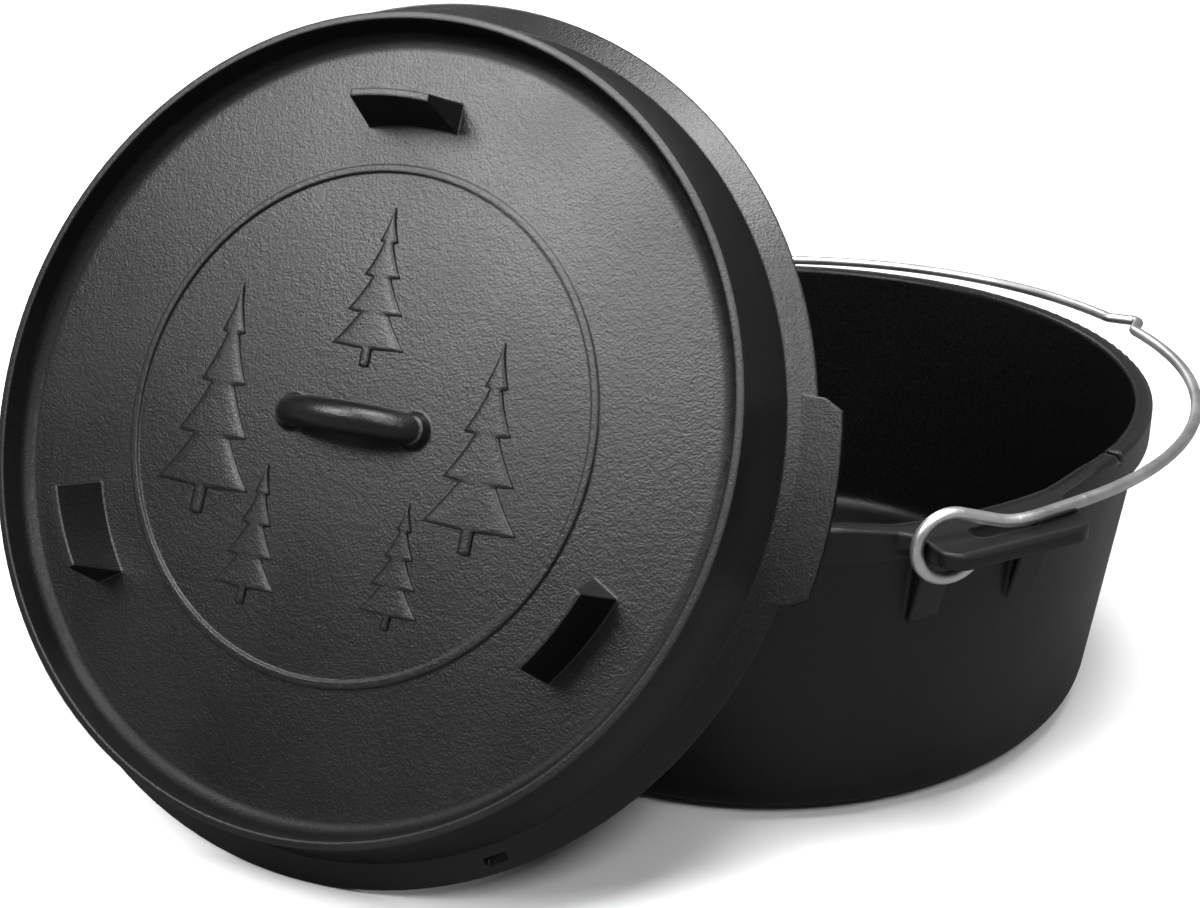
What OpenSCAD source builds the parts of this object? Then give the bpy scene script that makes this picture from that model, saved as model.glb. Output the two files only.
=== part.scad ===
// Camp dutch oven: a cast pot with two slotted ears, a wire bail hooked into the ears,
// and a footed lid that leans against the rim with its face to the front (-Y).
// Millimetres. The pot stands on z = 0 with its axis on the origin.

/* [Pot] */
// Outer radius of the rim
rim_r = 180; // [150:0.5:220]
// Height of the rim above the floor
pot_h = 144.6; // [110:0.1:190]
// Outer wall radius where the wall line meets the floor
base_r = 160; // [130:0.5:175]
// Radius of the outer bottom edge
base_round = 18; // [10:0.5:30]
// Wall thickness
wall = 6; // [4:0.5:8]
// Bottom thickness
floor_t = 7; // [4:0.5:12]
// Height of the rim band
band_h = 15; // [8:0.5:20]
// How far the rim band stands out of the wall
band_proud = 1.6; // [0.8:0.1:3]
// Edge radius on the rim
rim_round = 2; // [1:0.1:2.5]
// Width of the probe notch in the rim
notch_w = 4.5; // [3:0.5:8]
// Depth of the probe notch
notch_d = 5; // [3:0.5:8]
// Direction of the probe notch, counted from the near ear
notch_turn = 26; // [22:1:60]

/* [Ears] */
// Direction of the near ear, seen from above
ear_turn = -42; // [-50:0.5:-30]
// Drop of the rim at each ear
ear_dip = 4; // [2:0.5:6]
// Half length of the level part of each dip
dip_flat = 36; // [30:1:45]
// Length of the slope at each end of a dip
dip_ramp = 26; // [15:1:35]
// Width of an ear along the rim
ear_w = 67.5; // [62:0.5:72]
// How far an ear stands out of the rim
ear_out = 22.5; // [20:0.5:25]
// Thickness of an ear
ear_t = 6.5; // [5:0.5:7]
// Corner radius of an ear
ear_corner = 9; // [4:0.5:10]
// Radius that blends an ear into the rim
ear_blend = 10; // [5:0.5:15]
// Bevel along the front top edge of an ear
ear_bevel = 1.5; // [0.5:0.5:3]
// Width of the bar at each end of the slot
bar_w = 18.5; // [14:0.5:18.5]
// Width of the slot
slot_w = 9.5; // [9:0.5:11]
// Distance of the slot from the ear's front face
slot_back = 14; // [12:0.5:15]
// Width of a rib under an ear
rib_w = 13; // [8:0.5:14]
// Distance between the middles of the two ribs under an ear
rib_gap = 47; // [45:1:52]
// How far the top of a rib stands out of the rim line
rib_out = 4.5; // [2:0.5:5]
// How far the lower end of a rib stands out of the wall
rib_foot = 2.5; // [1:0.5:4]
// Height of a rib below its ear
rib_h = 35; // [20:1:45]

/* [Bail] */
// Wire diameter
wire_d = 5; // [4:0.5:5]
// Centre line radius of a hook
ring_r = 13.3; // [13:0.1:14]
// Turn of wire in a hook, in degrees
ring_turn = 285; // [250:5:290]
// Angle at which the wire leaves the hook
ring_leave = 72; // [68:1:76]
// Radius of the bend from hook to leg
leg_bend = 30; // [15:1:36]
// Radius of the bend that turns the leg along the slot
leg_turn = 40; // [20:1:60]
// Angle by which the leg turns in towards the arc
leg_in = 15; // [10:1:18]
// Distance of the big arc's centre from the hinge
bail_rise = 12; // [8:0.5:20]
// Gap between the folded bail and the ear
bail_gap = 0.4; // [0.3:0.1:1]
// Flank angle of the kink at the middle of the bail
kink_angle = 45; // [30:1:60]
// Tip radius of the kink
kink_tip = 4.5; // [3.5:0.5:8]
// Radius of the bends beside the kink
kink_bend = 6; // [4:0.5:10]
// Straight length of each flank of the kink
kink_flank = 9; // [4:0.5:14]

/* [Lid] */
// Outer radius of the raised lip
lip_r = 165.2; // [140:0.1:180]
// Width of the lip
lip_w = 3; // [2.5:0.5:5]
// Depth of the tray inside the lip
tray_d = 13; // [8:0.5:16]
// Plate thickness
plate_t = 6.5; // [5:0.5:9]
// Outward run of the concave outer wall
skirt_run = 7.8; // [5:0.1:12]
// Drop of the concave outer wall
skirt_drop = 30.4; // [26:0.1:34]
// Curve radius of the concave outer wall
skirt_curve = 70; // [50:1:200]
// Width of the sloping flange
flange_w = 10.5; // [8:0.5:14]
// Drop of the flange's slope
flange_drop = 5.1; // [3:0.1:8]
// Height of the flange's edge
flange_edge = 4.8; // [4:0.1:8]
// Draft on the flange's edge
edge_draft = 2.3; // [1:0.1:3]
// Inner radius of the seat under the flange, counted in from the flange's edge
seat_w = 13.5; // [11:0.5:15]
// Slope of the pan's wall
pan_slope = 30; // [15:1:35]
// Radius in the corner of the pan
pan_round = 10; // [4:1:14]
// Radius in the corner of the tray
tray_round = 5; // [2:0.5:7]
// Slope of the tray's wall
tray_slope = 8; // [4:1:14]
// Radius of the raised ornament ring
ring_orn_r = 104; // [60:1:112]
// Width of the ornament ring
ring_orn_w = 3; // [2:0.5:6]
// Height of the ornament ring
ring_orn_h = 1.2; // [0.6:0.1:2]
// How far the tabs stand out of the flange
tab_out = 8.7; // [5:0.1:14]
// How far a tab's underside stays above the seat
tab_low = 0.5; // [0.2:0.1:1.5]
// Width of a tab at its end
tab_w = 66; // [40:1:80]
// Widening of a tab at its root, on each side
tab_slant = 6; // [2:0.5:10]
// Length of the small slot in the flange
eye_l = 10; // [6:0.5:14]
// Width of the small slot
eye_w = 3; // [2:0.5:4]
// Depth of the small slot
eye_d = 4; // [2:0.5:4]
// Direction of the small slot, counted from a tab
eye_turn = -60; // [-80:1:-20]

/* [Lid feet and loop] */
// Radius of the feet's middle
foot_r = 128; // [118:0.5:138]
// Width of a foot at its root
foot_w = 12.5; // [8:0.5:16]
// Width of a foot at its tip
foot_tip = 3; // [2:0.5:6]
// Height of a foot above the plate
foot_h = 23; // [21:0.5:28]
// Length of a foot along the ring
foot_l = 41; // [30:0.5:60]
// Draft at each end of a foot
foot_draft = 3; // [1:0.5:5]
// Rod diameter of the loop
loop_d = 13; // [10:0.5:14]
// Half span of the loop's middle line at the plate
loop_half = 28; // [24:0.5:40]
// Height of the loop's top above the plate
loop_h = 21; // [20:0.5:21]
// How far each root of the loop flares out on the plate
loop_flare = 2; // [1:0.5:4]
// Height of the flare
loop_root = 4; // [2:0.5:6]

/* [Lid pose] */
// Lean of the lid, back from upright
lean = 29.8; // [20:0.1:40]
// Sideways place of the lid's centre
lid_x = -107.5; // [-130:0.5:-85]
// Turn of the lid about its own axis
spin = -0.8; // [-10:0.1:10]
// Gap between the lid and the floor
floor_gap = 0.4; // [0.2:0.1:1]
// Gap between the lid and the rim it leans on
rest_gap = 0.4; // [0.3:0.1:1]

/* [Hidden] */
$fn = 96;
// Pot wall and rim
wall_r = rim_r - band_proud;
taper = atan((wall_r - base_r) / pot_h);
cave_r = base_r - wall / cos(taper) + floor_t * tan(taper);
mouth_r = cave_r + (pot_h - floor_t) * tan(taper);
lip_in_x = mouth_r - rim_round * tan(taper) + rim_round / cos(taper);
over = 1;
// Ears
ear_top = pot_h - ear_dip;
ear_end = rim_r + ear_out;
ear_in = mouth_r - wall;
ear_half = ear_w / 2;
slot_x = ear_end - slot_back;
slot_half = ear_half - bar_w;
bar_y = ear_half - bar_w / 2;
blend_y = ear_half + ear_blend;
rib_low_r = base_r + (ear_top - ear_t - rib_h) * tan(taper);
rib_low_x = sqrt(pow(rib_low_r, 2) - pow(rib_gap / 2, 2)) + rib_foot;
blend_r = rim_r - over / 2;
blend_x = sqrt(pow(blend_r + ear_blend, 2) - pow(blend_y, 2));
blend_k = blend_r / (blend_r + ear_blend);
// Bail, in its own frame: x along the hinge, y towards the folded arc, z up from the hinge
wire_r = wire_d / 2;
wire_trim = 0.1;
wire_swell = 0.05;
skew = atan(bar_y / slot_x);
hook_x = sqrt(pow(slot_x, 2) + pow(bar_y, 2)) - ring_r * sin(skew) / 2;
axis_z = ear_top - ear_t / 2;
leg_z = ear_t / 2 + bail_gap + wire_r;
neck_l = ((ring_r + leg_bend) * sin(ring_leave) - leg_bend - leg_z) / cos(ring_leave);
leg_y = (ring_r + leg_bend) * cos(ring_leave) + neck_l * sin(ring_leave);
turn_x = hook_x - leg_turn * (1 - cos(leg_in));
turn_y = leg_y + leg_turn * sin(leg_in);
bail_r = turn_x * cos(leg_in) + (turn_y - bail_rise) * sin(leg_in);
leg_l = turn_x * sin(leg_in) + (bail_rise - turn_y) * cos(leg_in);
kink_reach = kink_tip + kink_bend;
kink_half = asin((kink_reach * sin(kink_angle) + kink_flank * cos(kink_angle)) / (bail_r + kink_bend));
bend_x = (bail_r + kink_bend) * sin(kink_half);
bend_y = bail_rise + (bail_r + kink_bend) * cos(kink_half);
tip_y = bend_y - kink_reach * cos(kink_angle) + kink_flank * sin(kink_angle);
// Lid section, z = 0 at the lip's top
skirt_r = lip_r + skirt_run;
flange_r = skirt_r + flange_w;
flange_z = skirt_drop + flange_drop;
lid_h = flange_z + flange_edge;
tab_r = flange_r + tab_out;
seat_mid = skirt_r - over;
seat_r = flange_r - seat_w;
pan_top = tray_d + plate_t;
pan_d = lid_h - pan_top;
pan_r = seat_r - pan_d * tan(pan_slope);
tray_r = lip_r - lip_w - tray_d * tan(tray_slope);
chord = sqrt(pow(skirt_run, 2) + pow(skirt_drop, 2));
chord_turn = atan2(skirt_run, skirt_drop);
chord_back = sqrt(pow(skirt_curve, 2) - pow(chord / 2, 2));
// Block that the skirt and the flange are cut from: its edge and the flange's line run straight on
edge_top_r = flange_r + flange_z * edge_draft / flange_edge;
skirt_in = lip_r - over;
flange_in_z = (skirt_r - skirt_in) * flange_drop / flange_w - skirt_drop;
flange_out_z = (skirt_r - edge_top_r - over) * flange_drop / flange_w - skirt_drop;
// Loop arc through the plate line and its own top
loop_rise = loop_h - loop_d / 2;
loop_arc = (pow(loop_half, 2) + pow(loop_rise, 2)) / (2 * loop_rise);
loop_sweep = asin(loop_half / loop_arc) + plate_t / 2 / loop_arc * 180 / PI;
// Feet and tabs
foot_turns = [90, 210, 330];
foot_sweep = (foot_l + 2 * foot_w) / foot_r * 180 / PI;
tab_turns = [0, 180];
tab_sweep = 90;
tab_in = seat_r / 2;
// Lid pose: stands on the floor, its seat ring touches the rim
lid_z = floor_gap + max(flange_r * cos(lean) + flange_z * sin(lean),
                        (flange_r - edge_draft) * cos(lean) + lid_h * sin(lean));
rim_dz = pot_h - lid_z;
rim_dy = (lid_h + rest_gap + rim_dz * sin(lean)) / cos(lean);
rim_b = rim_dy * sin(lean) + rim_dz * cos(lean);
touch_x = lid_x + sqrt(pow(seat_r, 2) - pow(rim_b, 2));
lid_y = -sqrt(pow(rim_r, 2) - pow(touch_x, 2)) - rim_dy;

// Half section of a bowl: flat bottom of radius r0 at the corner, wall sloping out, rounded corner
module bowl(r0, slope, round_r, top) {
    c = r0 + round_r * tan(slope) - round_r / cos(slope);
    polygon([[0, 0], [c, 0], [c + round_r * cos(slope), round_r * (1 - sin(slope))],
             [r0 + top * tan(slope), top], [0, top]]);
    translate([c, round_r]) circle(round_r);
}

module at_ears() {
    for (turn = [ear_turn, ear_turn + 180]) rotate([0, 0, turn]) children();
}

// Outside of the pot with its rim band
module pot_outside() {
    rotate_extrude() {
        bowl(base_r, taper, base_round, pot_h - rim_round);
        polygon([[ear_in, pot_h - band_h - band_proud - wall], [wall_r - (band_h + band_proud) * tan(taper),
                 pot_h - band_h - band_proud], [rim_r, pot_h - band_h], [rim_r, pot_h - rim_round],
                 [rim_r - rim_round, pot_h], [ear_in, pot_h]]);
        translate([rim_r - rim_round, pot_h - rim_round]) circle(rim_round);
    }
}

// Inside of the pot, with a rounded mouth edge
module pot_inside() {
    rotate_extrude() {
        translate([0, floor_t]) bowl(cave_r, taper, base_round - wall, pot_h - floor_t + over);
        difference() {
            translate([lip_in_x - wall, pot_h - rim_round + rim_round * sin(taper)])
                square([wall, rim_round + over]);
            translate([lip_in_x, pot_h - rim_round]) circle(rim_round);
        }
    }
}

module ear_plan() {
    translate([ear_in, -ear_half]) square([ear_end - ear_corner - ear_in, ear_w]);
    translate([ear_in, ear_corner - ear_half]) square([ear_end - ear_in, ear_w - 2 * ear_corner]);
    for (side = [-1, 1]) {
        translate([ear_end - ear_corner, side * (ear_half - ear_corner)]) circle(ear_corner);
        difference() {
            polygon([[ear_in, 0], [blend_x, 0], [blend_x, side * ear_half],
                     [blend_x * blend_k, side * blend_y * blend_k],
                     [ear_in, side * ear_half]]);
            translate([blend_x, side * blend_y]) circle(ear_blend);
        }
    }
}

module ear() {
    difference() {
        translate([0, 0, ear_top - ear_t]) linear_extrude(ear_t) ear_plan();
        translate([0, ear_half + over, 0]) rotate([90, 0, 0]) linear_extrude(ear_w + 2 * over)
            polygon([[ear_end - ear_bevel - over, ear_top + over],
                     [ear_end + over, ear_top - ear_bevel - over], [ear_end + over, ear_top + over]]);
    }
    for (side = [-1, 1]) translate([0, side * rib_gap / 2 + rib_w / 2, ear_top - ear_t]) rotate([90, 0, 0])
        linear_extrude(rib_w) polygon([[ear_in, over], [rim_r + rib_out, over], [rib_low_x, -rib_h],
                                       [rib_low_x - wall, -rib_h]]);
}

module ear_slot() {
    translate([slot_x, 0, ear_top - ear_t - over]) linear_extrude(ear_t + 2 * over) {
        translate([-slot_w / 2, slot_w / 2 - slot_half]) square([slot_w, 2 * slot_half - slot_w]);
        for (side = [-1, 1]) translate([0, side * (slot_half - slot_w / 2)]) circle(slot_w / 2);
    }
}

module ear_dips() {
    rise = dip_ramp * (1 + over / ear_dip);
    translate([ear_in - 2 * wall, 0, 0]) rotate([90, 0, 90]) linear_extrude(ear_end - ear_in + 3 * wall)
        polygon([[-dip_flat, ear_top], [dip_flat, ear_top], [dip_flat + rise, pot_h + over],
                 [-dip_flat - rise, pot_h + over]]);
}

// Pot casting: wall, bottom, rim band, two ears on ribs
module pot() {
    color([0.07, 0.07, 0.075])
    difference() {
        union() {
            pot_outside();
            at_ears() ear();
        }
        pot_inside();
        at_ears() ear_slot();
        at_ears() ear_dips();
        rotate([0, 0, ear_turn + notch_turn]) translate([ear_in, -notch_w / 2, pot_h - notch_d])
            cube([ear_end - ear_in, notch_w, notch_d + over]);
    }
}

// Piece of wire bent to an arc in the xy plane, kept short of its ends by wire_trim
module wire_arc(r, from, sweep) {
    trim = wire_trim / r * 180 / PI;
    rotate([0, 0, from + trim]) rotate_extrude(angle = sweep - 2 * trim) translate([r, 0]) circle(wire_r);
}

// Straight piece of wire along y
module wire_rod(length) {
    translate([0, wire_trim, 0]) rotate([-90, 0, 0]) cylinder(r = wire_r, h = length - 2 * wire_trim);
}

// Joint between two pieces of wire, at the end of an arc
module wire_joint(r, at) {
    rotate([0, 0, at]) translate([r, 0, 0]) sphere(wire_r + wire_swell);
}

module bail_half() {
    translate([hook_x, 0, 0]) rotate([90, 0, 90]) {
        wire_arc(ring_r, ring_leave, ring_turn);
        wire_joint(ring_r, ring_leave);
        translate([ring_r * cos(ring_leave), ring_r * sin(ring_leave), 0])
            rotate([0, 0, ring_leave - 180]) wire_rod(neck_l);
        translate([leg_y, leg_z + leg_bend, 0]) {
            wire_joint(leg_bend, 180 + ring_leave);
            wire_arc(leg_bend, 180 + ring_leave, 90 - ring_leave);
            wire_joint(leg_bend, 270);
        }
    }
    translate([hook_x - leg_turn, leg_y, leg_z]) {
        wire_arc(leg_turn, 0, leg_in);
        wire_joint(leg_turn, leg_in);
    }
    translate([turn_x, turn_y, leg_z]) rotate([0, 0, leg_in]) wire_rod(leg_l);
    translate([0, bail_rise, leg_z]) {
        wire_joint(bail_r, leg_in);
        wire_arc(bail_r, leg_in, 90 - kink_half - leg_in);
        wire_joint(bail_r, 90 - kink_half);
    }
    translate([bend_x, bend_y, leg_z]) {
        wire_arc(kink_bend, 270 - kink_angle, kink_angle - kink_half);
        wire_joint(kink_bend, 270 - kink_angle);
    }
    translate([kink_tip * sin(kink_angle), tip_y + kink_tip * cos(kink_angle), leg_z])
        rotate([0, 0, -90 - kink_angle]) wire_rod(kink_flank);
    translate([0, tip_y, leg_z]) wire_joint(kink_tip, 90 - kink_angle);
}

// Wire bail, hooked round one bar of each ear
module bail() {
    color([0.72, 0.73, 0.75])
    translate([0, 0, axis_z]) rotate([0, 0, ear_turn - skew]) {
        bail_half();
        mirror([1, 0, 0]) bail_half();
        translate([0, tip_y, leg_z]) wire_arc(kink_tip, 90 - kink_angle, 2 * kink_angle);
    }
}

// Section of the lid
module lid_section() {
    difference() {
        polygon([[0, 0], [edge_top_r, 0], [flange_r - edge_draft, -lid_h], [0, -lid_h]]);
        intersection() {
            polygon([[skirt_in, flange_in_z], [edge_top_r + over, flange_out_z],
                     [edge_top_r + over, over], [skirt_in, over]]);
            translate([lip_r, 0]) rotate(chord_turn - 90) translate([chord / 2, chord_back])
                circle(skirt_curve, $fn = 4 * $fn);
        }
        translate([0, -tray_d]) bowl(tray_r, tray_slope, tray_round, tray_d + over);
        translate([0, -pan_top]) mirror([0, 1]) bowl(pan_r, pan_slope, pan_round, pan_d + over);
    }
    translate([ring_orn_r - ring_orn_w / 2, -tray_d - over]) square([ring_orn_w, ring_orn_h + over]);
}

module lid_foot() {
    z0 = -tray_d - plate_t / 2;
    z1 = foot_h - tray_d;
    root_w = foot_w + (foot_w - foot_tip) * plate_t / 2 / foot_h;
    root_l = foot_l + foot_draft * (plate_t + 2 * over) / foot_h;
    top_l = foot_l - foot_draft * 2 * (foot_h + over) / foot_h;
    intersection() {
        rotate([0, 0, -foot_sweep / 2]) rotate_extrude(angle = foot_sweep)
            polygon([[foot_r - root_w / 2, z0], [foot_r + root_w / 2, z0],
                     [foot_r + foot_tip / 2, z1], [foot_r - foot_tip / 2, z1]]);
        translate([foot_r - 2 * foot_w, 0, 0]) rotate([90, 0, 90]) linear_extrude(4 * foot_w)
            polygon([[-root_l / 2, z0 - over], [root_l / 2, z0 - over],
                     [top_l / 2, z1 + over], [-top_l / 2, z1 + over]]);
    }
}

module lid_loop() {
    for (side = [-1, 1]) translate([side * loop_half, 0, -tray_d - over])
        cylinder(r1 = loop_d / 2 + loop_flare, r2 = loop_d / 2 - over / 2, h = loop_root + over);
    intersection() {
        translate([0, 0, loop_rise - loop_arc - tray_d]) rotate([90, 0, 0]) rotate([0, 0, 90 - loop_sweep])
            rotate_extrude(angle = 2 * loop_sweep) translate([loop_arc, 0]) circle(loop_d / 2);
        translate([-loop_arc - loop_d, -loop_d, -tray_d - plate_t / 2])
            cube([2 * (loop_arc + loop_d), 2 * loop_d, loop_h + plate_t]);
    }
}

module lid_tab() {
    intersection() {
        rotate([0, 0, -tab_sweep / 2]) rotate_extrude(angle = tab_sweep)
            polygon([[seat_mid, tab_low - lid_h], [seat_mid, -skirt_drop - over],
                     [skirt_r, -skirt_drop - over], [tab_r, -flange_z - over], [tab_r, tab_low - lid_h]]);
        translate([0, 0, -lid_h - over]) linear_extrude(lid_h)
            polygon([[tab_in, -tab_w / 2 - tab_slant], [flange_r - over, -tab_w / 2 - tab_slant],
                     [tab_r + over, -tab_w / 2], [tab_r + over, tab_w / 2],
                     [flange_r - over, tab_w / 2 + tab_slant], [tab_in, tab_w / 2 + tab_slant]]);
    }
}

// Lid casting: plate in a raised lip, concave skirt, flange with two tabs, three feet and a loop
module lid() {
    color([0.08, 0.08, 0.085])
    translate([lid_x, lid_y, lid_z]) rotate([90 - lean, 0, 0]) rotate([0, 0, spin])
    difference() {
        union() {
            rotate_extrude() lid_section();
            for (turn = foot_turns) rotate([0, 0, turn]) lid_foot();
            for (turn = tab_turns) rotate([0, 0, turn]) lid_tab();
            lid_loop();
        }
        rotate([0, 0, eye_turn])
            translate([flange_r - (flange_w + eye_w) / 2, -eye_l / 2, -skirt_drop - flange_drop / 2 - eye_d])
                cube([eye_w, eye_l, flange_drop + eye_d]);
    }
}

pot();
lid();
bail();
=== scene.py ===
"""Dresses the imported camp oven: cast iron and wire finishes, a relief of pines on the lid, and a studio."""

import math

import bmesh
import bpy
import numpy as np
from bpy.props import FloatProperty, FloatVectorProperty, IntProperty, PointerProperty
from mathutils import Matrix, Vector


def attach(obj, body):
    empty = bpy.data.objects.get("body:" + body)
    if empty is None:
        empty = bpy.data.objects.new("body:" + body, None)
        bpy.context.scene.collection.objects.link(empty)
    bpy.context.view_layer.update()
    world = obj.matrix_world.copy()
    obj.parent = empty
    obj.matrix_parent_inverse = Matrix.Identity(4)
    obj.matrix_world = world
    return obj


bl_info = {
    "name": "Camp Oven Finish",
    "version": (1, 0, 0),
    "blender": (4, 5, 0),
    "location": "View3D > Sidebar > Camp Oven",
    "description": "Cast iron and wire finishes, a pine relief for the lid and a white studio",
    "category": "Object",
}

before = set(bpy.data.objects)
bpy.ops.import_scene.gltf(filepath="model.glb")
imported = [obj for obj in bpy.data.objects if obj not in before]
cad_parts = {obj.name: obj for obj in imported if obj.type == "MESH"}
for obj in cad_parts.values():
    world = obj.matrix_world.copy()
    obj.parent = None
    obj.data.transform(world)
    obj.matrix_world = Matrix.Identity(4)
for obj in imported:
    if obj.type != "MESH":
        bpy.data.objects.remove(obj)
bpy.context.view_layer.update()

MM = 0.001
WHITE = (1, 1, 1, 1)

# Lean of the pot's wall, and the radius at the floor that parts its inside from its outside
POT_SLOPE = 0.127
POT_WALL = 157 * MM

# Inwards from the lip's outer radius: the start of the smooth lip, and both sides of the tray's corner
LIP_SMOOTH = 1.5 * MM
CORNER_INNER = 11 * MM
CORNER_OUTER = 3 * MM
ZONE_SOFT = 1.5 * MM

# Roughness that the smooth mould, the matt corner of the tray and the slick inside of the pot add
SMOOTH_ROUGH = 0.06
CORNER_ROUGH = 0.2
INSIDE_ROUGH = -0.1

# Spacing of the patterns in the finishes, and the pits' noise scale and depth against the sand grain's
GLOSS_CLOUD = 60 * MM
WIRE_STREAK = 3 * MM
WIRE_PATCH = 25 * MM
PIT_SCALE = 0.3
PIT_DEPTH = 0.6

# Pines on the plate: sideways and upward place of the foot, height and width, in millimetres
PINES = (
    (-64, -48, 98, 46),
    (-34, -80, 58, 30),
    (60, -44, 84, 42),
    (33, -78, 50, 27),
    (0, 22, 66, 34),
)
PINE_RINGS = 121
PINE_ROUND = 24
# Shares of a pine: the trunk's height and width, how far a tier narrows, and the power of its steep sides
TRUNK_HEIGHT = 0.12
TRUNK_WIDTH = 0.13
TIER_NARROWS = 0.5
STEEP_SIDE = 0.6
SAME_POINT = 0.01 * MM

# Soft lamps: name, place and width in metres, and power in watts
LAMPS = (
    ("key_softbox", (-0.78, -1.2, 1.66), 0.8, 46.5),
    ("top_softbox", (0.25, -0.25, 1.9), 0.8, 44.5),
    ("side_softbox", (0.85, -1.05, 1.45), 0.5, 14.0),
    ("back_softbox", (-1.2, 1.3, 1.5), 0.8, 15.0),
)
LAMP_TARGET = Vector((0, -0.06, 0.12))

# The floor's half width, its gap under the pot, and how far off it starts and ends turning white of itself
FLOOR_REACH = 6.0
FLOOR_GAP = 0.2 * MM
FLOOR_LIT = 0.5
FLOOR_WHITE = 1.4

PICTURE_WIDTH = 1200
SENSOR_WIDTH = 36.0


def linear(hex_colour):
    """sRGB hex, such as #1a1a1b, to the linear RGB that Blender's sockets take."""
    srgb = np.array([int(hex_colour[i : i + 2], 16) for i in (1, 3, 5)]) / 255.0
    return tuple(np.where(srgb <= 0.04045, srgb / 12.92, ((srgb + 0.055) / 1.055) ** 2.4).tolist())


def rgba(colour):
    """A colour property as the four numbers that a colour socket takes."""
    return (*colour, 1.0)


class CampOvenFinish(bpy.types.PropertyGroup):
    """Colours, grain and edges of the iron, and colours of the wire."""

    iron_dark: FloatVectorProperty(
        name="Iron, hollows", description="Seasoned iron in the low spots of the grain",
        subtype="COLOR", default=linear("#050506"), min=0, max=1,
    )
    iron_light: FloatVectorProperty(
        name="Iron, high spots", description="Seasoned iron on the peaks of the grain",
        subtype="COLOR", default=linear("#121213"), min=0, max=1,
    )
    # Edge colour of the iron: worn metal, and also a painted highlight that lightens every edge alike
    iron_worn_and_highlit_edge: FloatVectorProperty(
        name="Iron, edges", description="Iron on rubbed edges",
        subtype="COLOR", default=linear("#2e2e2f"), min=0, max=1,
    )
    wire_bright: FloatVectorProperty(
        name="Wire, bright", description="Drawn stainless wire",
        subtype="COLOR", default=linear("#dcdcde"), min=0, max=1,
    )
    wire_worn: FloatVectorProperty(
        name="Wire, worn", description="Wire where heat and handling dulled it",
        subtype="COLOR", default=linear("#b4b4b6"), min=0, max=1,
    )
    # Real sand grain is finer, and is drawn as coarse as it needs to show in the picture
    grain: FloatProperty(
        name="Grain", description="Size of the sand grain in the casting",
        unit="LENGTH", default=0.95 * MM, min=0.3 * MM, max=5 * MM,
    )
    edge_round: FloatProperty(
        name="Edge round", description="Radius that softens the lid's edges",
        unit="LENGTH", default=1.4 * MM, min=0, max=4 * MM,
    )
    pot_round: FloatProperty(
        name="Pot round", description="Radius that softens the edges of the pot's ears and ribs",
        unit="LENGTH", default=2.8 * MM, min=0, max=6 * MM,
    )


class CampOvenLid(bpy.types.PropertyGroup):
    """Where the leaning lid is, and the pine relief on its plate."""

    centre: FloatVectorProperty(
        name="Lid centre", description="Middle of the lip's top plane",
        subtype="TRANSLATION", default=(-107.5 * MM, -197.0 * MM, 177.67 * MM),
    )
    lean: FloatProperty(
        name="Lean", description="Lean of the lid, back from upright",
        subtype="ANGLE", default=math.radians(29.8),
    )
    spin: FloatProperty(
        name="Spin", description="Turn of the lid about its own axis",
        subtype="ANGLE", default=math.radians(-0.8),
    )
    plate_depth: FloatProperty(
        name="Plate depth", description="Depth of the plate below the lip",
        unit="LENGTH", default=13 * MM,
    )
    lip_radius: FloatProperty(
        name="Lip radius", description="Outer radius of the lip",
        unit="LENGTH", default=165.2 * MM,
    )
    skirt_radius: FloatProperty(
        name="Skirt radius", description="Radius at the foot of the concave skirt",
        unit="LENGTH", default=173 * MM,
    )
    relief: FloatProperty(
        name="Relief", description="Height of the pines above the plate",
        unit="LENGTH", default=1.4 * MM,
    )
    tiers: IntProperty(
        name="Tiers", description="Rows of boughs on a pine",
        default=4, min=2, max=8,
    )


class CampOvenStage(bpy.types.PropertyGroup):
    """Camera and light."""

    camera_place: FloatVectorProperty(
        name="Camera", description="Place of the camera",
        subtype="TRANSLATION", default=(221.3 * MM, -678.0 * MM, 398.8 * MM),
    )
    azimuth: FloatProperty(
        name="Azimuth", description="Turn of the view about the vertical",
        subtype="ANGLE", default=math.radians(24.18),
    )
    pitch: FloatProperty(
        name="Pitch", description="How far the camera looks down",
        subtype="ANGLE", default=math.radians(22.71),
    )
    roll: FloatProperty(
        name="Roll", description="Turn of the camera about its own axis",
        subtype="ANGLE", default=math.radians(-1.4),
    )
    focal_pixels: FloatProperty(
        name="Focal length", description="Focal length in pixels of a 1200 pixel wide picture",
        default=1574.0,
    )
    room_light: FloatProperty(
        name="Room light", description="Strength of the light from all round",
        default=0.06, min=0, max=2,
    )
    mirrored: FloatProperty(
        name="Mirrored", description="Share of the white background that metal and glass show",
        subtype="FACTOR", default=0.2, min=0, max=1,
    )
    floor_colour: FloatVectorProperty(
        name="Floor", description="Colour of the floor in the picture",
        subtype="COLOR", default=linear("#f4f4f4"), min=0, max=1,
    )
    floor_bounce: FloatVectorProperty(
        name="Floor bounce", description="Colour of the floor for the light that it throws back",
        subtype="COLOR", default=linear("#747474"), min=0, max=1,
    )


def add(tree, kind, values=None, links=None, **settings):
    """Adds one node with its settings, socket values and links, and returns it."""
    node = tree.nodes.new(kind)
    for name, value in settings.items():
        setattr(node, name, value)
    for socket, value in (values or {}).items():
        node.inputs[socket].default_value = value
    for socket, source in (links or {}).items():
        tree.links.new(source, node.inputs[socket])
    return node


def new_material(name):
    """An empty node material, its tree and its output."""
    material = bpy.data.materials.new(name)
    material.use_nodes = True
    material.node_tree.nodes.clear()
    return material, material.node_tree, material.node_tree.nodes.new("ShaderNodeOutputMaterial")


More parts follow.
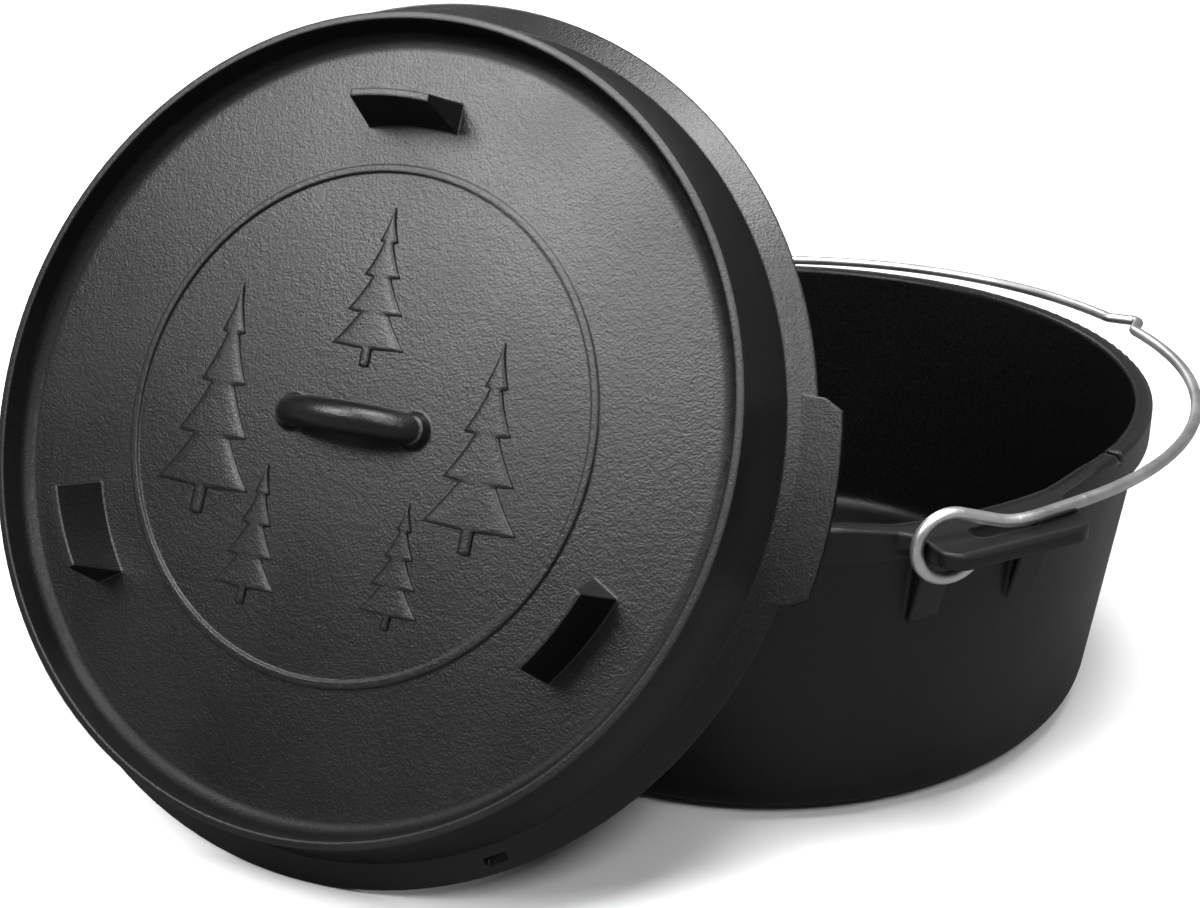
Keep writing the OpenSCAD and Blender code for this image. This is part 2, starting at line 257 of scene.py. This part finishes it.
def backdrop_share(tree, rays, mirrored):
    """How much of the white background a ray sees: all of it from the camera, a share in metal and glass."""
    bent = add(tree, "ShaderNodeMath", None,
               {0: rays["Is Glossy Ray"], 1: rays["Is Transmission Ray"]},
               operation="MAXIMUM").outputs["Value"]
    return add(tree, "ShaderNodeMath", {1: mirrored}, {0: bent, 2: rays["Is Camera Ray"]},
               operation="MULTIPLY_ADD").outputs["Value"]


def between(tree, value, low, high):
    """One between two radii and zero outside them: a soft step up at low, less a soft step up at high."""
    steps = [
        add(tree, "ShaderNodeMapRange", {"From Min": at - ZONE_SOFT, "From Max": at + ZONE_SOFT},
            {"Value": value}, interpolation_type="SMOOTHSTEP").outputs["Result"]
        for at in (low, high)
    ]
    return add(tree, "ShaderNodeMath", None, {0: steps[0], 1: steps[1]},
               operation="SUBTRACT").outputs["Value"]


def cast_iron(name, finish, edge_round, place, turn, slope, smooth_zone, skin_zone, skin_rough):
    """Seasoned sand-cast iron: near black oil film over a sand grain, satin, with edges made lighter in
    colour, partly as wear and partly as a painted highlight.

    place and turn bring the casting's own axis upright, and the radius counts from a wall that leans
    out by slope. Between the two radii of smooth_zone the mould was smooth and the grain fades. Between
    those of skin_zone the skin mirrors less, and its roughness differs by skin_rough.
    """
    material, tree, output = new_material(name)
    where = add(tree, "ShaderNodeTexCoord").outputs["Object"]
    own = add(tree, "ShaderNodeMapping", {"Location": place, "Rotation": turn}, {"Vector": where},
              vector_type="TEXTURE").outputs["Vector"]
    flat = add(tree, "ShaderNodeVectorMath", {1: (1, 1, 0)}, {0: own},
               operation="MULTIPLY").outputs["Vector"]
    reach = add(tree, "ShaderNodeVectorMath", None, {0: flat}, operation="LENGTH").outputs["Value"]
    upward = add(tree, "ShaderNodeSeparateXYZ", None, {"Vector": own}).outputs["Z"]
    radius = add(tree, "ShaderNodeMath", {1: -slope}, {0: upward, 2: reach},
                 operation="MULTIPLY_ADD").outputs["Value"]
    smooth = between(tree, radius, *smooth_zone)
    skin = between(tree, radius, *skin_zone)

    # Grain: fine sand with wider pits, flatter where the mould was smooth
    sand = add(tree, "ShaderNodeTexNoise", {"Scale": 1 / finish.grain, "Detail": 3.0, "Roughness": 0.62},
               {"Vector": own}).outputs["Fac"]
    pits = add(tree, "ShaderNodeTexNoise", {"Scale": PIT_SCALE / finish.grain, "Detail": 2.0},
               {"Vector": own}).outputs["Fac"]
    grain = add(tree, "ShaderNodeMath", {1: PIT_DEPTH}, {0: pits, 2: sand},
                operation="MULTIPLY_ADD").outputs["Value"]
    rough = add(tree, "ShaderNodeMapRange", {"To Min": 1.0, "To Max": 0.75},
                {"Value": smooth}).outputs["Result"]
    height = add(tree, "ShaderNodeMath", None, {0: grain, 1: rough}, operation="MULTIPLY").outputs["Value"]

    # Edges: where the rounded normal turns off the face's own, a mask for the lighter edge colour, which is
    # partly wear and partly a painted highlight
    edge = add(tree, "ShaderNodeBevel", {"Radius": edge_round}, samples=6).outputs["Normal"]
    face = add(tree, "ShaderNodeNewGeometry").outputs["True Normal"]
    turn_off = add(tree, "ShaderNodeVectorMath", None, {0: edge, 1: face},
                   operation="DOT_PRODUCT").outputs["Value"]
    worn_and_highlit_edges = add(tree, "ShaderNodeMapRange", {"From Min": 0.985, "From Max": 0.86, "To Max": 0.7},
                 {"Value": turn_off}).outputs["Result"]

    # Colour: darker in the hollows of the grain, lighter on its peaks, and lighter on edges as wear and as a
    # painted highlight
    tone = add(tree, "ShaderNodeMapRange", {"From Min": 0.35, "From Max": 0.68},
               {"Value": sand}).outputs["Result"]
    seasoned = add(tree, "ShaderNodeMix", {"A": rgba(finish.iron_dark), "B": rgba(finish.iron_light)},
                   {"Factor": tone}, data_type="RGBA").outputs["Result"]
    colour = add(tree, "ShaderNodeMix", {"B": rgba(finish.iron_worn_and_highlit_edge)},
                 {"Factor": worn_and_highlit_edges, "A": seasoned}, data_type="RGBA").outputs["Result"]

    # Gloss: satin, uneven where the oil pooled, and changed in both zones
    cloud = add(tree, "ShaderNodeTexNoise", {"Scale": 1 / GLOSS_CLOUD, "Detail": 2.0},
                {"Vector": own}).outputs["Fac"]
    gloss = add(tree, "ShaderNodeMapRange",
                {"From Min": 0.3, "From Max": 0.7, "To Min": 0.27, "To Max": 0.36},
                {"Value": cloud}).outputs["Result"]
    for zone, added in ((smooth, SMOOTH_ROUGH), (skin, skin_rough)):
        gloss = add(tree, "ShaderNodeMath", {1: added}, {0: zone, 2: gloss},
                    operation="MULTIPLY_ADD").outputs["Value"]
    mirror = add(tree, "ShaderNodeMapRange", {"To Min": 0.37, "To Max": 0.2},
                 {"Value": skin}).outputs["Result"]
    bump = add(tree, "ShaderNodeBump", {"Strength": 0.45, "Distance": 0.4 * MM},
               {"Height": height, "Normal": edge}).outputs["Normal"]
    shader = add(tree, "ShaderNodeBsdfPrincipled", None,
                 {"Base Color": colour, "Roughness": gloss, "Specular IOR Level": mirror, "Normal": bump})
    tree.links.new(shader.outputs["BSDF"], output.inputs["Surface"])
    return material


def drawn_wire(finish):
    """Stainless wire drawn through a die and bent cold: satin metal, uneven in gloss, dull in worn spots."""
    material, tree, output = new_material("drawn_stainless_wire")
    where = add(tree, "ShaderNodeTexCoord").outputs["Object"]
    streak = add(tree, "ShaderNodeTexNoise", {"Scale": 1 / WIRE_STREAK, "Detail": 4.0},
                 {"Vector": where}).outputs["Fac"]
    patch = add(tree, "ShaderNodeTexNoise", {"Scale": 1 / WIRE_PATCH, "Detail": 2.0},
                {"Vector": where}).outputs["Fac"]
    worn = add(tree, "ShaderNodeMapRange", {"From Min": 0.4, "From Max": 0.7},
               {"Value": patch}).outputs["Result"]
    colour = add(tree, "ShaderNodeMix", {"A": rgba(finish.wire_bright), "B": rgba(finish.wire_worn)},
                 {"Factor": worn}, data_type="RGBA").outputs["Result"]
    gloss = add(tree, "ShaderNodeMapRange", {"To Min": 0.32, "To Max": 0.48},
                {"Value": streak}).outputs["Result"]
    bump = add(tree, "ShaderNodeBump", {"Strength": 0.2, "Distance": 0.1 * MM},
               {"Height": streak}).outputs["Normal"]
    shader = add(tree, "ShaderNodeBsdfPrincipled", {"Metallic": 1.0},
                 {"Base Color": colour, "Roughness": gloss, "Normal": bump})
    tree.links.new(shader.outputs["BSDF"], output.inputs["Surface"])
    return material


def paint(node, material):
    """Gives a CAD node's material slots this material."""
    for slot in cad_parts[node].material_slots:
        slot.material = material


def lid_matrix(lid):
    """From the lid's own frame, upright with its lip at zero, to the row frame."""
    return (Matrix.Translation(Vector(lid.centre))
            @ Matrix.Rotation(math.pi / 2 - lid.lean, 4, "X") @ Matrix.Rotation(lid.spin, 4, "Z"))


def tube_mesh(name, points):
    """A closed skin over an array of rings: neighbours in a ring and in the next ring share a face."""
    rings, sides = points.shape[:2]
    ring = np.arange(rings - 1)[:, None] * sides
    side = np.arange(sides)[None, :]
    after = (side + 1) % sides
    quads = np.stack([ring + side, ring + after, ring + sides + after, ring + sides + side], axis=-1)
    mesh = bpy.data.meshes.new(name)
    mesh.from_pydata(points.reshape(-1, 3).tolist(), [], quads.reshape(-1, 4).tolist())
    body = bmesh.new()
    body.from_mesh(mesh)
    bmesh.ops.remove_doubles(body, verts=body.verts, dist=SAME_POINT)
    bmesh.ops.recalc_face_normals(body, faces=body.faces)
    body.to_mesh(mesh)
    body.free()
    mesh.shade_smooth()
    return mesh


def pine_points(height, width, relief, tiers):
    """A low pine: at each height a flattened ring, as wide as the boughs there.

    The half width falls from the foot to the tip and, within each tier, by a further half from the
    tips of the boughs up to the stem. Across, the top is a superellipse, so the sides are steep.
    """
    along = np.linspace(0, 1, PINE_RINGS)
    crown = np.clip((along - TRUNK_HEIGHT) / (1 - TRUNK_HEIGHT), 0, 1)
    tier = np.modf(crown * tiers)[0]
    boughs = (1 - crown) * (1 - TIER_NARROWS * tier)
    half = np.where(along < TRUNK_HEIGHT, TRUNK_WIDTH, boughs) * width / 2
    half[[0, -1]] = 0
    around = np.linspace(0, 2 * math.pi, PINE_ROUND, endpoint=False)
    across = np.sign(np.cos(around)) * np.abs(np.cos(around)) ** STEEP_SIDE
    up = np.sign(np.sin(around)) * np.abs(np.sin(around)) ** STEEP_SIDE
    points = np.empty((PINE_RINGS, PINE_ROUND, 3))
    points[..., 0] = half[:, None] * across
    points[..., 1] = (along * height)[:, None]
    points[..., 2] = np.where(half[:, None] > 0, relief * up, 0)
    return points


def new_piece(name, mesh, material, body):
    """Links a finished mesh as a piece that rides on a body."""
    mesh.materials.append(material)
    piece = bpy.data.objects.new(name, mesh)
    bpy.context.scene.collection.objects.link(piece)
    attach(piece, body)


class CAMPOVEN_OT_iron(bpy.types.Operator):
    """Gives the pot and the lid their cast iron"""

    bl_idname = "campoven.iron"
    bl_label = "Cast iron"

    def execute(self, context):
        finish = context.scene.campoven_finish
        lid = context.scene.campoven_lid
        paint("pot", cast_iron(
            "seasoned_iron_pot", finish, finish.pot_round, (0, 0, 0), (0, 0, 0), POT_SLOPE,
            smooth_zone=(POT_WALL, 2 * POT_WALL),
            skin_zone=(-POT_WALL, POT_WALL), skin_rough=INSIDE_ROUGH,
        ))
        paint("lid", cast_iron(
            "seasoned_iron_lid", finish, finish.edge_round,
            tuple(lid.centre), (math.pi / 2 - lid.lean, 0, 0), 0.0,
            smooth_zone=(lid.lip_radius - LIP_SMOOTH, lid.skirt_radius),
            skin_zone=(lid.lip_radius - CORNER_INNER, lid.lip_radius - CORNER_OUTER), skin_rough=CORNER_ROUGH,
        ))
        return {"FINISHED"}


class CAMPOVEN_OT_wire(bpy.types.Operator):
    """Gives the bail its drawn wire"""

    bl_idname = "campoven.wire"
    bl_label = "Bail wire"

    def execute(self, context):
        paint("bail", drawn_wire(context.scene.campoven_finish))
        return {"FINISHED"}


class CAMPOVEN_OT_pines(bpy.types.Operator):
    """Casts the relief of pines into the lid's plate"""

    bl_idname = "campoven.pines"
    bl_label = "Pine relief"

    def execute(self, context):
        lid = context.scene.campoven_lid
        iron = bpy.data.materials["seasoned_iron_lid"]
        to_row = np.array(lid_matrix(lid))
        for count, (sideways, upward, height, width) in enumerate(PINES):
            points = pine_points(height * MM, width * MM, lid.relief, lid.tiers)
            points += np.array([sideways * MM, upward * MM, -lid.plate_depth])
            points = points @ to_row[:3, :3].T + to_row[:3, 3]
            name = f"pine_{count}"
            new_piece(name, tube_mesh(name, points), iron, "lid")
        return {"FINISHED"}


class CAMPOVEN_OT_stage(bpy.types.Operator):
    """Sets up the white floor, the soft lights and the camera"""

    bl_idname = "campoven.stage"
    bl_label = "Studio"

    def execute(self, context):
        scene = context.scene
        stage = scene.campoven_stage
        scene.view_settings.view_transform = "Standard"
        self.room(scene, stage)
        self.floor(scene, stage)
        self.lamps(scene)
        self.camera(scene, stage)
        return {"FINISHED"}

    @staticmethod
    def room(scene, stage):
        """Weak even light from all round, in front of a backdrop that is white in the picture."""
        world = bpy.data.worlds.new("dim_room")
        scene.world = world
        world.use_nodes = True
        tree = world.node_tree
        tree.nodes.clear()
        rays = add(tree, "ShaderNodeLightPath").outputs
        share = backdrop_share(tree, rays, stage.mirrored)
        strength = add(tree, "ShaderNodeMapRange", {"To Min": stage.room_light, "To Max": 1.0},
                       {"Value": share}).outputs["Result"]
        light = add(tree, "ShaderNodeBackground", {"Color": WHITE}, {"Strength": strength})
        add(tree, "ShaderNodeOutputWorld", None, {"Surface": light.outputs["Background"]})

    @staticmethod
    def floor(scene, stage):
        """A wide flat floor just under the pot: lit white near by, and white of itself further off.

        The camera sees the floor's pale colour. Other rays meet a greyer one, so that the floor throws
        little light back on the black iron.
        """
        corners = np.array([(-1, -1), (1, -1), (1, 1), (-1, 1)]) * FLOOR_REACH
        mesh = bpy.data.meshes.new("floor")
        mesh.from_pydata(np.column_stack([corners, np.full(4, -FLOOR_GAP)]).tolist(), [], [(0, 1, 2, 3)])
        material, tree, output = new_material("matt_white_floor")
        rays = add(tree, "ShaderNodeLightPath").outputs
        share = backdrop_share(tree, rays, stage.mirrored)
        where = add(tree, "ShaderNodeTexCoord").outputs["Object"]
        away = add(tree, "ShaderNodeVectorMath", None, {0: where}, operation="LENGTH").outputs["Value"]
        far = add(tree, "ShaderNodeMapRange", {"From Min": FLOOR_LIT, "From Max": FLOOR_WHITE},
                  {"Value": away}).outputs["Result"]
        lift = add(tree, "ShaderNodeMath", None, {0: far, 1: share}, operation="MULTIPLY").outputs["Value"]
        tint = add(tree, "ShaderNodeMix", {"A": rgba(stage.floor_bounce), "B": rgba(stage.floor_colour)},
                   {"Factor": rays["Is Camera Ray"]}, data_type="RGBA").outputs["Result"]
        matt = add(tree, "ShaderNodeBsdfDiffuse", None, {"Color": tint}).outputs["BSDF"]
        glow = add(tree, "ShaderNodeEmission", {"Color": WHITE}, {"Strength": lift}).outputs["Emission"]
        both = add(tree, "ShaderNodeAddShader", None, {0: matt, 1: glow})
        tree.links.new(both.outputs["Shader"], output.inputs["Surface"])
        mesh.materials.append(material)
        item = bpy.data.objects.new("floor", mesh)
        scene.collection.objects.link(item)

    @staticmethod
    def lamps(scene):
        """Square soft lamps, each turned to the middle of the object."""
        for name, place, size, power in LAMPS:
            lamp = bpy.data.lights.new(name, "AREA")
            lamp.size = size
            lamp.energy = power
            item = bpy.data.objects.new(name, lamp)
            item.location = place
            item.rotation_euler = (LAMP_TARGET - Vector(place)).to_track_quat("-Z", "Y").to_euler()
            scene.collection.objects.link(item)

    @staticmethod
    def camera(scene, stage):
        """A camera turned by azimuth, pitch and roll, with the lens that the perspective asks for."""
        lens = bpy.data.cameras.new("camera")
        lens.sensor_width = SENSOR_WIDTH
        lens.lens = stage.focal_pixels / PICTURE_WIDTH * SENSOR_WIDTH
        item = bpy.data.objects.new("camera", lens)
        item.matrix_world = (
            Matrix.Translation(Vector(stage.camera_place)) @ Matrix.Rotation(stage.azimuth, 4, "Z")
            @ Matrix.Rotation(math.pi / 2 - stage.pitch, 4, "X") @ Matrix.Rotation(stage.roll, 4, "Z")
        )
        scene.collection.objects.link(item)
        scene.camera = item


class CAMPOVEN_PT_panel(bpy.types.Panel):
    """Lists the finish, the lid's relief, the studio and their operators"""

    bl_label = "Camp Oven"
    bl_idname = "CAMPOVEN_PT_panel"
    bl_space_type = "VIEW_3D"
    bl_region_type = "UI"
    bl_category = "Camp Oven"

    def draw(self, context):
        for group_name in GROUPS:
            group = getattr(context.scene, group_name)
            column = self.layout.column(align=True)
            for name in group.__annotations__:
                column.prop(group, name)
        for operator in OPERATORS:
            self.layout.operator(operator.bl_idname)


GROUPS = {"campoven_finish": CampOvenFinish, "campoven_lid": CampOvenLid, "campoven_stage": CampOvenStage}
OPERATORS = (CAMPOVEN_OT_iron, CAMPOVEN_OT_wire, CAMPOVEN_OT_pines, CAMPOVEN_OT_stage)
CLASSES = (*GROUPS.values(), *OPERATORS, CAMPOVEN_PT_panel)


def register():
    for item in CLASSES:
        bpy.utils.register_class(item)
    for name, group in GROUPS.items():
        setattr(bpy.types.Scene, name, PointerProperty(type=group))


def unregister():
    for name in GROUPS:
        delattr(bpy.types.Scene, name)
    for item in reversed(CLASSES):
        bpy.utils.unregister_class(item)


def main():
    """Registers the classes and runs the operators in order."""
    register()
    bpy.ops.campoven.iron()
    bpy.ops.campoven.wire()
    bpy.ops.campoven.pines()
    bpy.ops.campoven.stage()


if __name__ == "__main__":
    main()
